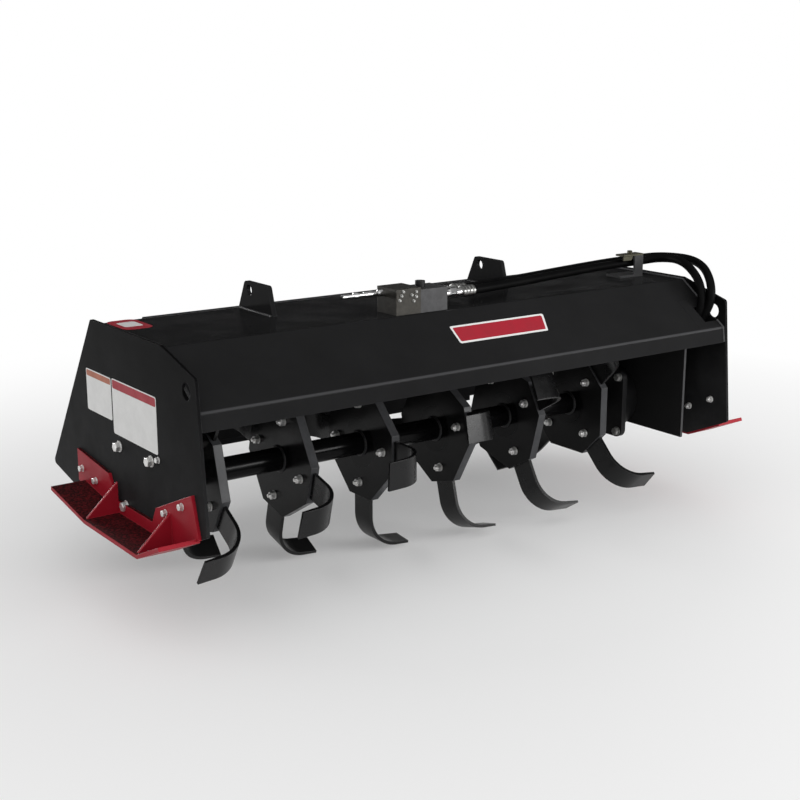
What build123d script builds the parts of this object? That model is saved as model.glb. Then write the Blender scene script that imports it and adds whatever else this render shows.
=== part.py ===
"""Rotary tiller carried on a loader's coupler plate, built as separate pieces.

Units are millimetres and +Z is up. X runs along the reel, -Y is the front with the sloped hood, and
+Y is the loader's side. The origin is the middle of the coupler plate's rear face. Side profiles are
written from the reel's axis, as (distance to the rear, height).
"""
import os
from math import cos, hypot, radians, sin, sqrt
from build123d import *

# Overall width and stock thicknesses
WIDTH = 1685.0
PLATE = 8.0
SHEET = 6.0
BEND_RADIUS = 6.0
CORNER_RADIUS = 10.0

# Where the reel's axis lies from the coupler plate's face
REEL_AHEAD = 500.0
REEL_BELOW = 105.0

# End plates, seen from the side
DECK_HEIGHT = 366.0
PLATE_PROUD = 6.0
PLATE_TOP_REAR = 215.0
FOLD_FRONT = 169.0
PLATE_NOSE = 332.0
PLATE_NOSE_HEIGHT = 325.0
PLATE_TOE = 364.0
PLATE_TOE_DROP = 25.0
PLATE_BOTTOM_DROP = 90.0
PLATE_BOTTOM_FRONT = 216.0
PLATE_BOTTOM_REAR = 378.0
PLATE_HEEL = 513.0
PLATE_HEEL_DROP = 62.0
TIE_HOLE_RADIUS = 20.0
TIE_HOLE_FRONT = 290.0
TIE_HOLE_HEIGHT = 290.0

# Hood sheet: deck, front slope with a lip, rear slope
DECK_REAR = 185.0
LIP_FRONT = 331.0
LIP_TOP = 248.0
LIP_DEPTH = 43.0
LIP_LEAN = 6.0
REAR_WALL_FOOT = 455.0
REAR_WALL_DROP = 25.0
NOTCH_WIDTH = 87.0
NOTCH_FRONT = 322.0
NOTCH_REAR = 236.0

# Rear beam under the rear slope
BEAM_DEPTH = 60.0
BEAM_HEIGHT = 36.0
BEAM_WALL = 5.0

# Coupler plate, with a hooked lip above and a ledge with two lock slots below
COUPLER_WIDTH = 1143.0
COUPLER_HEIGHT = 400.0
COUPLER_PLATE = 10.0
COUPLER_LIP = 44.0
POCKET_RELIEF = 1.0
POCKET_STEP = 3.0
COUPLER_LEDGE = 58.0
LOCK_SLOT_LENGTH = 60.0
LOCK_SLOT_WIDTH = 30.0
LOCK_SLOT_INSET = 76.5
LOCK_SLOT_REAR = 32.0
UPRIGHT = 10.0
UPRIGHT_HEIGHT = 295.0
UPRIGHT_INSET = 51.5
UPRIGHTS = 4

# Lifting lugs on the deck
LUG = 12.0
LUG_RISE = 74.0
LUG_FOOT_REAR = 181.0
LUG_TOP_REAR = 146.0
LUG_TOP_FRONT = 30.0
LUG_FOOT_FRONT = 8.0
LUG_HOLE_RADIUS = 13.5
LUG_HOLE_REAR = 124.0
LUG_HOLE_RISE = 52.0
LUG_PLACES = {"left": -442.0, "right": 312.0}

# Skid shoes outside the end plates
SHOE_WIDTH = 100.0
SHOE_SOLE = 10.0
SHOE_DROP = 97.0
SHOE_FLAT_FRONT = 214.0
SHOE_FLAT_REAR = 81.0
SHOE_TIP_FRONT = 330.0
SHOE_TIP_FRONT_DROP = 45.0
SHOE_TIP_REAR = 285.0
SHOE_TIP_REAR_DROP = 65.0
SHOE_STRIP_DROP = 58.0
STRIP_REAR = 100.0
STRIP_FRONT = 105.0
EAR_REAR = 325.0
EAR_REAR_RISE = 20.0
EAR_REAR_END = 135.0
EAR_FRONT_END = 127.0
EAR_FRONT_END_DROP = 18.0
EAR_FRONT = 310.0
EAR_FRONT_RISE = 60.0
EAR_NOSE = 338.0
EAR_NOSE_DROP = 37.0
SHOE_GUSSET = 8.0
SHOE_GUSSET_RISE = 78.0

# Reel: tube, tine plates and tines
TUBE_RADIUS = 30.0
STUB_RADIUS = 25.0
RUNNING_GAP = 0.05
END_GAP = 6.0
STATIONS = 6
FIRST_STATION_INSET = 162.0
LAST_STATION_INSET = 280.5
FIRST_ANGLE = -30.0
STATION_TURN = 15.0
TINE_PLATE = 24.0
LOBE_REACH = 148.0
LOBE_HALF = 50.0
TINES_PER_PLATE = 4
TINE = 9.0
TINE_HALF = 36.0
TINE_ROOT = 48.0
TINE_BEND = 45.0
TINE_CORNER = 258.0
TINE_RADIUS = 304.0
TINE_REACH = 142.0
TINE_TIP_CUT = 14.0
TINE_SWEEP = 25.0
TINE_KNEE = 180.0

# Bearing on the left plate, motor on the drive wall
BEARING_HALF = 100.0
BEARING_FLANGE = 14.0
BEARING_CORNER = 30.0
BEARING_BOSS_RADIUS = 62.0
BEARING_LENGTH = 45.0
DRIVE_WALL_INSET = 94.0
DRIVE_WALL_FRONT = 275.0
DRIVE_WALL_REAR = 330.0
DRIVE_WALL_REAR_RISE = 60.0
DRIVE_WALL_TOP_REAR = 150.0
DRIVE_WALL_DROP = 75.0
MOTOR_HALF_WIDE = 118.0
MOTOR_HALF_TALL = 100.0
MOTOR_FLANGE = 16.0
MOTOR_CORNER = 24.0
MOTOR_NOSE_RADIUS = 95.0
MOTOR_NOSE = 82.0
MOTOR_BODY_RADIUS = 76.0
MOTOR_BODY = 74.0
PORT_BOSS_RADIUS = 19.0
PORT_REACH = 96.0
PORT_INSETS = {"outer": 42.5, "inner": 74.0}
PORT_TILT = 43.0

# Valve on the deck, with its fittings
VALVE_LEFT = -192.0
VALVE_FRONT = 164.0
VALVE_DEPTH = 84.0
VALVE_LENGTH = 76.0
VALVE_RISE = 66.0
SIDE_BLOCK_LENGTH = 84.0
SIDE_BLOCK_RISE = 60.0
SIDE_BLOCK_DEPTH = 76.0
CAP_RADIUS = 13.0
CAP_INSET = 25.0
CAP_RISE = 16.0
PORT_RADIUS = 10.5
PORT_DEPTH = 22.0
PORT_SPACING = 40.0
FITTING_LENGTH = 62.0
FITTING_HEX = 15.0
FITTING_RADIUS = 10.0
HOSE_ROWS = {"outer": 106.0, "inner": 142.0}
HOSE_RISE = 38.0

# Hoses, and the clamp that holds them at the deck's right end
HOSE_RADIUS = 12.0
HOSE_SIDES = 12
HOSE_KNEES = {"outer": 408.0, "inner": 392.0}
HOSE_LEAD = 80.0
HOSE_BEND_SHARE = 0.45
# Corners of each hose's route, as (inset from the right end, to the rear of the axis, above its deck run)
HOSE_CORNERS = {
    "outer": [(202.5, 6, 0), (46.5, 12, 0), (-22.5, -40, 10), (-18.5, -190, 18), (36.5, -292, -32)],
    "inner": [(202.5, -30, 0), (66.5, -24, 0), (20.5, -66, 12), (26.5, -165, 18), (66.5, -262, -26)],
}
CLAMP_INSET = 152.5
CLAMP_LENGTH = 92.0
CLAMP_PLATE = 6.0
CLAMP_FRONT = 57.0
CLAMP_DEPTH = 94.0
CLAMP_RISE = 62.0
CLAMP_STRAP = 34.0
CLAMP_CAP = 5.0

HALF = WIDTH / 2
INNER_HALF = HALF - PLATE
AXIS_Y = -REEL_AHEAD
AXIS_Z = -REEL_BELOW
LOBE_TURN = 360 / TINES_PER_PLATE
ALONG_X = (1, 0, 0)


def side_plane(x):
    """A plane across the reel at x, drawn as (distance to the rear of the axis, height above it)."""
    return Plane(origin=(x, AXIS_Y, AXIS_Z), x_dir=(0, 1, 0), z_dir=ALONG_X)


def slab(points, x, thickness, radius=0.0):
    """A flat plate across the reel, from its side outline, with its corners rounded."""
    outline = FilletPolyline(*points, radius=radius, close=True) if radius else Polyline(*points, close=True)
    return extrude(side_plane(x) * make_face(outline.edges()), amount=thickness, dir=ALONG_X)


def disc(radius, x, length, rear=0.0, height=0.0):
    """A round bar along X."""
    return extrude(side_plane(x) * Pos(rear, height) * Circle(radius), amount=length, dir=ALONG_X)


def block(x, rear, height, length, depth, rise):
    """A rectangular block from its left, front and lower corner."""
    corner = Pos(x, AXIS_Y + rear, AXIS_Z + height)
    return corner * Box(length, depth, rise, align=(Align.MIN, Align.MIN, Align.MIN))


def offset_right(points, distance):
    """The points of a bent line moved to the right of its direction of travel."""
    moved = []
    for index, (across, up) in enumerate(points):
        normals = []
        for start, end in ((index - 1, index), (index, index + 1)):
            if start >= 0 and end < len(points):
                run = (points[end][0] - points[start][0], points[end][1] - points[start][1])
                length = hypot(*run)
                normals.append((run[1] / length, -run[0] / length))
        first, last = normals[0], normals[-1]
        share = distance / (1 + first[0] * last[0] + first[1] * last[1])
        moved.append((across + share * (first[0] + last[0]), up + share * (first[1] + last[1])))
    return moved


def bent_sheet(points, thickness, x, length, bend):
    """A sheet bent the same way at each inner point, with its inside on the right."""
    outside = FilletPolyline(*points, radius=bend + thickness)
    inside = FilletPolyline(*offset_right(points, thickness), radius=bend)
    edges = [Line(outside @ 1, inside @ 1), Line(inside @ 0, outside @ 0)]
    face = make_face(outside.edges() + inside.edges() + edges)
    return extrude(side_plane(x) * face, amount=length, dir=ALONG_X)


def tube_along(points, radii, radius):
    """A hose along straight runs that are joined by arcs."""
    path = FilletPolyline(*points, radius=radii)
    start = Plane(origin=path @ 0, z_dir=path % 0)
    return sweep(start * RegularPolygon(radius, HOSE_SIDES), path=path)


def from_axis(x, rear, height):
    """A point given from the reel's axis."""
    return (x, AXIS_Y + rear, AXIS_Z + height)


def end_plate(x):
    """One end plate, with the round hole near its front top corner."""
    outline = [
        (PLATE_TOP_REAR, DECK_HEIGHT + PLATE_PROUD),
        (-FOLD_FRONT, DECK_HEIGHT + PLATE_PROUD),
        (-PLATE_NOSE, PLATE_NOSE_HEIGHT),
        (-PLATE_TOE, -PLATE_TOE_DROP),
        (-PLATE_BOTTOM_FRONT, -PLATE_BOTTOM_DROP),
        (PLATE_BOTTOM_REAR, -PLATE_BOTTOM_DROP),
        (PLATE_HEEL, -PLATE_HEEL_DROP),
    ]
    return slab(outline, x, PLATE, CORNER_RADIUS) - disc(
        TIE_HOLE_RADIUS, x, PLATE, -TIE_HOLE_FRONT, TIE_HOLE_HEIGHT
    )


def hood_sheet():
    """Deck, front slope, lip and rear slope in one bent sheet, notched at its right for the hoses."""
    outside = [
        (-LIP_FRONT - LIP_LEAN, LIP_TOP - LIP_DEPTH),
        (-LIP_FRONT, LIP_TOP),
        (-FOLD_FRONT, DECK_HEIGHT),
        (DECK_REAR, DECK_HEIGHT),
        (REAR_WALL_FOOT, -REAR_WALL_DROP),
    ]
    sheet = bent_sheet(outside, SHEET, -INNER_HALF, 2 * INNER_HALF, BEND_RADIUS)
    under_foot = block(-HALF, DECK_REAR, -REAR_WALL_DROP - DECK_HEIGHT, WIDTH, REAR_WALL_FOOT, DECK_HEIGHT)
    notch_left = INNER_HALF - NOTCH_WIDTH
    notch_depth = NOTCH_FRONT - NOTCH_REAR
    notch = block(notch_left, -NOTCH_FRONT, LIP_TOP - LIP_DEPTH, NOTCH_WIDTH, notch_depth, DECK_HEIGHT)
    return sheet - under_foot - notch


def rear_wall_at(height):
    """How far to the rear of the axis the rear slope's outside is at a height."""
    fall = (DECK_HEIGHT - height) / (DECK_HEIGHT + REAR_WALL_DROP)
    return DECK_REAR + fall * (REAR_WALL_FOOT - DECK_REAR)


def rear_beam():
    """Hollow beam between the end plates, under the rear slope and against the coupler plate."""
    front = REEL_AHEAD - COUPLER_PLATE - BEAM_DEPTH
    bottom = -REAR_WALL_DROP - BEAM_HEIGHT
    outer = block(-INNER_HALF, front, bottom, 2 * INNER_HALF, BEAM_DEPTH, BEAM_HEIGHT)
    hollow = block(
        -INNER_HALF,
        front + BEAM_WALL,
        bottom + BEAM_WALL,
        2 * INNER_HALF,
        BEAM_DEPTH - 2 * BEAM_WALL,
        BEAM_HEIGHT - 2 * BEAM_WALL,
    )
    return outer - hollow


def coupler_plate():
    """Plate that a loader picks up: a lip to hook under, a flat face and a ledge with two lock slots."""
    top = COUPLER_HEIGHT / 2
    skin = COUPLER_PLATE / sqrt(2)
    face_top = top - COUPLER_LIP - skin - POCKET_STEP
    outline = [
        (-COUPLER_PLATE, top),
        (0, top),
        (COUPLER_LIP, top - COUPLER_LIP),
        (COUPLER_LIP - skin, top - COUPLER_LIP - skin),
        (-POCKET_RELIEF, top - 2 * skin + POCKET_RELIEF),
        (-POCKET_RELIEF, face_top),
        (0, face_top),
        (0, COUPLER_PLATE - top),
        (COUPLER_LEDGE, COUPLER_PLATE - top),
        (COUPLER_LEDGE, -top),
        (-COUPLER_PLATE, -top),
    ]
    profile = Plane(origin=(-COUPLER_WIDTH / 2, 0, 0), x_dir=(0, 1, 0), z_dir=ALONG_X)
    face = make_face(Polyline(*outline, close=True).edges())
    plate = extrude(profile * face, amount=COUPLER_WIDTH, dir=ALONG_X)
    for side in (-1, 1):
        middle = Pos(side * (COUPLER_WIDTH / 2 - LOCK_SLOT_INSET), LOCK_SLOT_REAR, -top)
        plate -= middle * extrude(SlotOverall(LOCK_SLOT_LENGTH, LOCK_SLOT_WIDTH), amount=COUPLER_PLATE)
    return plate


def coupler_uprights():
    """Upright plates between the hood's rear slope and the coupler plate."""
    back = REEL_AHEAD - COUPLER_PLATE
    outline = [
        (rear_wall_at(UPRIGHT_HEIGHT), UPRIGHT_HEIGHT),
        (back, UPRIGHT_HEIGHT),
        (back, -REAR_WALL_DROP),
        (rear_wall_at(-REAR_WALL_DROP), -REAR_WALL_DROP),
    ]
    reach = COUPLER_WIDTH / 2 - UPRIGHT_INSET
    places = [reach * (2 * index / (UPRIGHTS - 1) - 1) for index in range(UPRIGHTS)]
    return Compound(children=[slab(outline, x - UPRIGHT / 2, UPRIGHT) for x in places])


def lift_lug(x):
    """Lifting lug that stands on the deck's rear edge."""
    outline = [
        (LUG_FOOT_REAR, DECK_HEIGHT),
        (LUG_TOP_REAR, DECK_HEIGHT + LUG_RISE),
        (LUG_TOP_FRONT, DECK_HEIGHT + LUG_RISE),
        (LUG_FOOT_FRONT, DECK_HEIGHT),
    ]
    lug = slab(outline, x - LUG / 2, LUG)
    crown = [edge for edge in lug.edges().filter_by(Axis.X) if edge.center().Z > AXIS_Z + DECK_HEIGHT + 1]
    lug = fillet(crown, CORNER_RADIUS)
    return lug - disc(LUG_HOLE_RADIUS, x - LUG / 2, LUG, LUG_HOLE_REAR, DECK_HEIGHT + LUG_HOLE_RISE)


def shoe_gusset(rear):
    """Triangular gusset between a shoe's ear plate and its sole."""
    foot = SHOE_SOLE - SHOE_DROP
    across = Plane(origin=from_axis(-HALF - PLATE, rear, 0), x_dir=(-1, 0, 0), z_dir=(0, 1, 0))
    outline = [(0, foot), (SHOE_WIDTH - PLATE - SHOE_GUSSET, foot), (0, foot + SHOE_GUSSET_RISE)]
    face = make_face(Polyline(*outline, close=True).edges())
    return extrude(across * face, amount=SHOE_GUSSET, dir=(0, 1, 0))


def skid_shoe():
    """Left skid shoe: a sole turned up at both ends, an ear plate on the end plate, and two gussets."""
    underside = [
        (SHOE_TIP_REAR, -SHOE_TIP_REAR_DROP),
        (SHOE_FLAT_REAR, -SHOE_DROP),
        (-SHOE_FLAT_FRONT, -SHOE_DROP),
        (-SHOE_TIP_FRONT, -SHOE_TIP_FRONT_DROP),
    ]
    sole = bent_sheet(underside, SHOE_SOLE, -HALF - SHOE_WIDTH, SHOE_WIDTH, BEND_RADIUS)
    ears = [
        (EAR_REAR, -SHOE_TIP_REAR_DROP),
        (EAR_REAR, EAR_REAR_RISE),
        (EAR_REAR_END, 0),
        (STRIP_REAR, -SHOE_STRIP_DROP),
        (-STRIP_FRONT, -SHOE_STRIP_DROP),
        (-EAR_FRONT_END, -EAR_FRONT_END_DROP),
        (-EAR_FRONT, EAR_FRONT_RISE),
        (-EAR_NOSE, -EAR_NOSE_DROP),
        (-SHOE_FLAT_FRONT, SHOE_SOLE - SHOE_DROP),
        (SHOE_FLAT_REAR, SHOE_SOLE - SHOE_DROP),
    ]
    shoe = sole + slab(ears, -HALF - PLATE, PLATE)
    for rear in (SHOE_FLAT_REAR, SHOE_GUSSET - SHOE_FLAT_FRONT):
        shoe += shoe_gusset(rear)
    return shoe


def station_x(index):
    """Place of a tine plate's middle along the reel."""
    pitch = (WIDTH - FIRST_STATION_INSET - LAST_STATION_INSET) / (STATIONS - 1)
    return FIRST_STATION_INSET - HALF + index * pitch


def turned(shape, angle):
    """A shape turned about the reel's axis, from straight down towards the front."""
    return shape.rotate(Axis((0, AXIS_Y, AXIS_Z), ALONG_X), -angle)


def tine_plate(index):
    """Eight-sided plate with a slot for each of its four tines, at its own angle round the reel."""
    points = []
    for lobe in range(TINES_PER_PLATE):
        turn = radians(LOBE_TURN * lobe)
        for across in (-LOBE_HALF, LOBE_HALF):
            rear = across * cos(turn) + LOBE_REACH * sin(turn)
            points.append((rear, LOBE_REACH * cos(turn) - across * sin(turn)))
    plate = slab(points, station_x(index) - TINE_PLATE / 2, TINE_PLATE)
    slot_depth = LOBE_REACH - TINE_ROOT
    slot = block(station_x(index) - TINE / 2, -TINE_HALF, -LOBE_REACH, TINE, 2 * TINE_HALF, slot_depth)
    for lobe in range(TINES_PER_PLATE):
        plate -= turned(slot, LOBE_TURN * lobe)
    return turned(plate, FIRST_ANGLE + index * STATION_TURN)


def reel_shaft():
    """Reel tube with its two stubs and its tine plates welded on."""
    left_face = -INNER_HALF + BEARING_LENGTH + END_GAP
    right_face = INNER_HALF - DRIVE_WALL_INSET - MOTOR_NOSE - END_GAP
    shaft = disc(TUBE_RADIUS, left_face, right_face - left_face)
    shaft += disc(STUB_RADIUS, -INNER_HALF + END_GAP, left_face + INNER_HALF - END_GAP)
    shaft += disc(STUB_RADIUS, right_face, MOTOR_NOSE)
    for index in range(STATIONS):
        shaft += tine_plate(index)
    return shaft


def tine():
    """One tine pointing straight down, with its shank swept back and its blade bent to the right."""
    back_line = [(0, -TINE_ROOT), (0, -TINE_CORNER), (TINE_REACH, -TINE_RADIUS)]
    back = FilletPolyline(*back_line, radius=TINE_BEND)
    hollow = FilletPolyline(*offset_right(back_line, -TINE), radius=TINE_BEND - TINE)
    ends = [Line(hollow @ 0, back @ 0), Line(hollow @ 1, back @ 1)]
    front = Plane(origin=(0, AXIS_Y, AXIS_Z), x_dir=ALONG_X, z_dir=(0, -1, 0))
    bent = extrude(front * make_face(hollow.edges() + back.edges() + ends), amount=TINE_RADIUS, both=True)
    outline = [
        (TINE_HALF, -TINE_ROOT),
        (TINE_HALF, -TINE_KNEE),
        (TINE_HALF + TINE_SWEEP, -TINE_RADIUS),
        (TINE_SWEEP - TINE_HALF, -TINE_RADIUS),
        (-TINE_HALF, -TINE_KNEE),
        (-TINE_HALF, -TINE_ROOT),
    ]
    blank = slab(outline, 0, TINE_REACH)
    plan = [
        (0, TINE_HALF + TINE_SWEEP),
        (TINE_REACH, TINE_HALF + TINE_SWEEP),
        (TINE_REACH - TINE_TIP_CUT, -TINE_HALF),
        (0, -TINE_HALF),
    ]
    above = Plane(origin=(0, AXIS_Y, AXIS_Z), x_dir=ALONG_X, z_dir=(0, 0, 1))
    tip = extrude(above * make_face(Polyline(*plan, close=True).edges()), amount=-TINE_RADIUS)
    return bent & blank & tip


def tine_set(index):
    """The four tines in one plate's slots, with blades bent to the right and to the left by turns."""
    right_hand = Pos(station_x(index) - TINE / 2, 0, 0) * tine()
    left_hand = mirror(right_hand, Plane.YZ.offset(station_x(index)))
    tines = []
    for lobe in range(TINES_PER_PLATE):
        piece = right_hand if lobe % 2 == 0 else left_hand
        tines.append(turned(piece, FIRST_ANGLE + index * STATION_TURN + LOBE_TURN * lobe))
    return Compound(children=tines)


def reel_bearing():
    """Flanged bearing housing inside the left end plate."""
    half = BEARING_HALF
    corners = [(-half, -half), (half, -half), (half, half), (-half, half)]
    flange = slab(corners, -INNER_HALF, BEARING_FLANGE, BEARING_CORNER)
    housing = flange + disc(BEARING_BOSS_RADIUS, -INNER_HALF, BEARING_LENGTH)
    return housing - disc(STUB_RADIUS + RUNNING_GAP, -INNER_HALF, BEARING_LENGTH)


WALL_LEFT = INNER_HALF - DRIVE_WALL_INSET
WALL_RIGHT = WALL_LEFT + PLATE


def drive_wall():
    """Inner wall beside the right end plate, that carries the motor."""
    under_deck = DECK_HEIGHT - SHEET
    slope = (DECK_HEIGHT - LIP_TOP) / (LIP_FRONT - FOLD_FRONT)
    slope_drop = SHEET * hypot(1, slope)
    front_top = DECK_HEIGHT - slope_drop - slope * (DRIVE_WALL_FRONT - FOLD_FRONT)
    outline = [
        (DRIVE_WALL_TOP_REAR, under_deck),
        (-FOLD_FRONT + (SHEET - slope_drop) / slope + SHEET, under_deck),
        (-DRIVE_WALL_FRONT, front_top),
        (-DRIVE_WALL_FRONT, -DRIVE_WALL_DROP),
        (DRIVE_WALL_REAR, -DRIVE_WALL_DROP),
        (DRIVE_WALL_REAR, DRIVE_WALL_REAR_RISE),
    ]
    return slab(outline, WALL_LEFT, PLATE)


def motor_nose():
    """Round nose of the hydraulic motor on the reel's side of the wall, with its square flange."""
    wide, tall = MOTOR_HALF_WIDE, MOTOR_HALF_TALL
    left = WALL_LEFT - MOTOR_NOSE
    corners = [(-wide, -tall), (wide, -tall), (wide, tall), (-wide, tall)]
    flange = slab(corners, left, MOTOR_FLANGE, MOTOR_CORNER)
    nose = flange + disc(MOTOR_NOSE_RADIUS, left, MOTOR_NOSE)
    return nose - disc(STUB_RADIUS + RUNNING_GAP, left, MOTOR_NOSE)


def port_point(row, distance):
    """Point on the line of one of the motor's ports, at a distance from the reel's axis."""
    tilt = radians(PORT_TILT)
    return (HALF - PORT_INSETS[row], -distance * cos(tilt), distance * sin(tilt))


def motor_body():
    """Body of the hydraulic motor in the space beside the right end plate, with two port bosses."""
    body = disc(MOTOR_BODY_RADIUS, WALL_RIGHT, MOTOR_BODY)
    for row in PORT_INSETS:
        foot = Vector(*from_axis(*port_point(row, 0)))
        mouth = Vector(*from_axis(*port_point(row, PORT_REACH)))
        boss = Plane(origin=foot, x_dir=ALONG_X, z_dir=mouth - foot)
        body += extrude(boss * Circle(PORT_BOSS_RADIUS), amount=PORT_REACH)
    return body


def valve_block():
    """Valve block on the deck, with two ports in its rear face for the loader's lines."""
    rear = VALVE_DEPTH - VALVE_FRONT
    body = block(VALVE_LEFT, -VALVE_FRONT, DECK_HEIGHT, VALVE_LENGTH, VALVE_DEPTH, VALVE_RISE)
    for side in (-1, 1):
        x = VALVE_LEFT + VALVE_LENGTH / 2 + side * PORT_SPACING / 2
        centre = from_axis(x, rear, DECK_HEIGHT + VALVE_RISE / 2)
        mouth = Plane(origin=centre, x_dir=ALONG_X, z_dir=(0, -1, 0))
        body -= extrude(mouth * Circle(PORT_RADIUS), amount=PORT_DEPTH)
    return body


def side_block():
    """Smaller block on the valve's right side."""
    left = VALVE_LEFT + VALVE_LENGTH
    return block(left, -VALVE_FRONT, DECK_HEIGHT, SIDE_BLOCK_LENGTH, SIDE_BLOCK_DEPTH, SIDE_BLOCK_RISE)


def valve_cap():
    """Round cap on top of the side block."""
    x = VALVE_LEFT + VALVE_LENGTH + CAP_INSET
    seat = from_axis(x, SIDE_BLOCK_DEPTH / 2 - VALVE_FRONT, DECK_HEIGHT + SIDE_BLOCK_RISE)
    return Pos(*seat) * Cylinder(CAP_RADIUS, CAP_RISE, align=(Align.CENTER, Align.CENTER, Align.MIN))


FITTING_LEFT = VALVE_LEFT + VALVE_LENGTH + SIDE_BLOCK_LENGTH
HOSE_HEIGHT = DECK_HEIGHT + HOSE_RISE


def fitting(x, front, length):
    """Steel adapter along X: a round body with a hexagon nut in its middle."""
    hexagon = side_plane(x + length / 3) * Pos(-front, HOSE_HEIGHT) * RegularPolygon(FITTING_HEX, 6)
    return disc(FITTING_RADIUS, x, length, -front, HOSE_HEIGHT) + extrude(
        hexagon, amount=length / 3, dir=ALONG_X
    )


def outlet_fittings():
    """The two adapters that the hoses leave from."""
    return Compound(children=[fitting(FITTING_LEFT, front, FITTING_LENGTH) for front in HOSE_ROWS.values()])


def inlet_tube():
    """Steel tube with a nut, along the deck to the left of the valve."""
    return fitting(VALVE_LEFT - 2 * FITTING_LENGTH, HOSE_ROWS["outer"], 2 * FITTING_LENGTH)


HOSE_START = FITTING_LEFT + FITTING_LENGTH


def hose(row):
    """One pressure hose from its adapter along the deck, through the clamp and down to the motor."""
    route = [(HOSE_START + lead, -HOSE_ROWS[row], HOSE_HEIGHT) for lead in (0, HOSE_LEAD)]
    route += [(HALF - inset, rear, HOSE_HEIGHT + rise) for inset, rear, rise in HOSE_CORNERS[row]]
    route += [port_point(row, HOSE_KNEES[row]), port_point(row, PORT_REACH)]
    points = [Vector(*from_axis(*point)) for point in route]
    radii = []
    for before, corner, after in zip(points, points[1:], points[2:]):
        turn = radians((corner - before).get_angle(after - corner))
        run = min((corner - before).length, (after - corner).length)
        radii.append(HOSE_BEND_SHARE * run * cos(turn / 2) / sin(turn / 2))
    return tube_along(points, radii, HOSE_RADIUS)


def clamp_bracket():
    """Hose clamp's base on the deck, with a strap up each side of the hoses."""
    base = block(HALF - CLAMP_INSET, -CLAMP_FRONT, DECK_HEIGHT, CLAMP_LENGTH, CLAMP_DEPTH, CLAMP_PLATE)
    strap_left = HALF - CLAMP_INSET + CLAMP_LENGTH - CLAMP_STRAP
    for front in (-CLAMP_FRONT, CLAMP_DEPTH - CLAMP_FRONT - CLAMP_PLATE):
        base += block(strap_left, front, DECK_HEIGHT, CLAMP_STRAP, CLAMP_PLATE, CLAMP_RISE)
    return base


def clamp_cap():
    """Plate bolted across the top of the clamp's straps."""
    seat = DECK_HEIGHT + CLAMP_RISE
    return block(HALF - CLAMP_INSET, -CLAMP_FRONT, seat, CLAMP_LENGTH, CLAMP_DEPTH, CLAMP_CAP)


shoe_left = skid_shoe()
pieces = {
    "end_plate_left": end_plate(-HALF),
    "end_plate_right": end_plate(INNER_HALF),
    "hood_sheet": hood_sheet(),
    "rear_beam": rear_beam(),
    "coupler_plate": coupler_plate(),
    "coupler_uprights": coupler_uprights(),
    "skid_shoe_left": shoe_left,
    "skid_shoe_right": mirror(shoe_left, Plane.YZ),
    "reel_bearing": reel_bearing(),
    "drive_wall": drive_wall(),
    "motor_nose": motor_nose(),
    "motor_body": motor_body(),
    "valve_block": valve_block(),
    "valve_side_block": side_block(),
    "valve_cap": valve_cap(),
    "outlet_fittings": outlet_fittings(),
    "inlet_tube": inlet_tube(),
    "hose_outer": hose("outer"),
    "hose_inner": hose("inner"),
    "hose_clamp_bracket": clamp_bracket(),
    "hose_clamp_cap": clamp_cap(),
    "reel_shaft": reel_shaft(),
}
for side, place in LUG_PLACES.items():
    pieces[f"lift_lug_{side}"] = lift_lug(place)
for station in range(STATIONS):
    pieces[f"tines_{station + 1}"] = tine_set(station)

os.makedirs("parts", exist_ok=True)
for name, piece in pieces.items():
    export_step(piece, f"parts/{name}.step")
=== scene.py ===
from math import cos, pi, radians, sin, sqrt, tan
import bmesh
import bpy
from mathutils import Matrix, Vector


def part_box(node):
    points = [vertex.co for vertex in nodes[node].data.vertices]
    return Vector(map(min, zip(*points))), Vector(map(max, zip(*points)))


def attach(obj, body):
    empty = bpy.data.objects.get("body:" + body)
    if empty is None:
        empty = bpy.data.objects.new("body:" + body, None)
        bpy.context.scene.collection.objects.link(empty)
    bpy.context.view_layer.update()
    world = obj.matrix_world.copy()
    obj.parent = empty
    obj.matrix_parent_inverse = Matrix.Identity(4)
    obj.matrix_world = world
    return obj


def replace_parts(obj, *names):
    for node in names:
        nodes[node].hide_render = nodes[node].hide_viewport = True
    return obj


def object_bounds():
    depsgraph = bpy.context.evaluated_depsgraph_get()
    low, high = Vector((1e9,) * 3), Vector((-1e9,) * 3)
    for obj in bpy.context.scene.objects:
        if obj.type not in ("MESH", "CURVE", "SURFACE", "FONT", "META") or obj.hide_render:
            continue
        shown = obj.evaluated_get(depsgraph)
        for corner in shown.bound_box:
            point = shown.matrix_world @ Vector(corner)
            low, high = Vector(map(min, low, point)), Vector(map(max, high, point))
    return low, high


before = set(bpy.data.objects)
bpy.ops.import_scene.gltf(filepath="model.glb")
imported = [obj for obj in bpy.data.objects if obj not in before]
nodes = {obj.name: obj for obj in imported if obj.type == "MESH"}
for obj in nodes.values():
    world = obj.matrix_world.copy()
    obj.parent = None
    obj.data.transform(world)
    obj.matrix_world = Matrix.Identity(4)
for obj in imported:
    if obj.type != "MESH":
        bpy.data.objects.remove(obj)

cad_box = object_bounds()

# End plates
# Flat 8 mm steel plates, cut to outline, that close the hood's two ends and carry the reel.
# They are powder coated satin black after welding: cloudy colour and faint orange peel. Their edges are
# lighter, for wear and a painted highlight, and low down the coat turns lighter as a painted floor reflection.


def new_material(name):
    """A node material with its shader and the object's own coordinates."""
    material = bpy.data.materials.new(name)
    material.use_nodes = True
    tree = material.node_tree
    shader = tree.nodes["Principled BSDF"]
    coordinates = tree.nodes.new("ShaderNodeTexCoord").outputs["Object"]
    return material, tree, shader, coordinates


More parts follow.
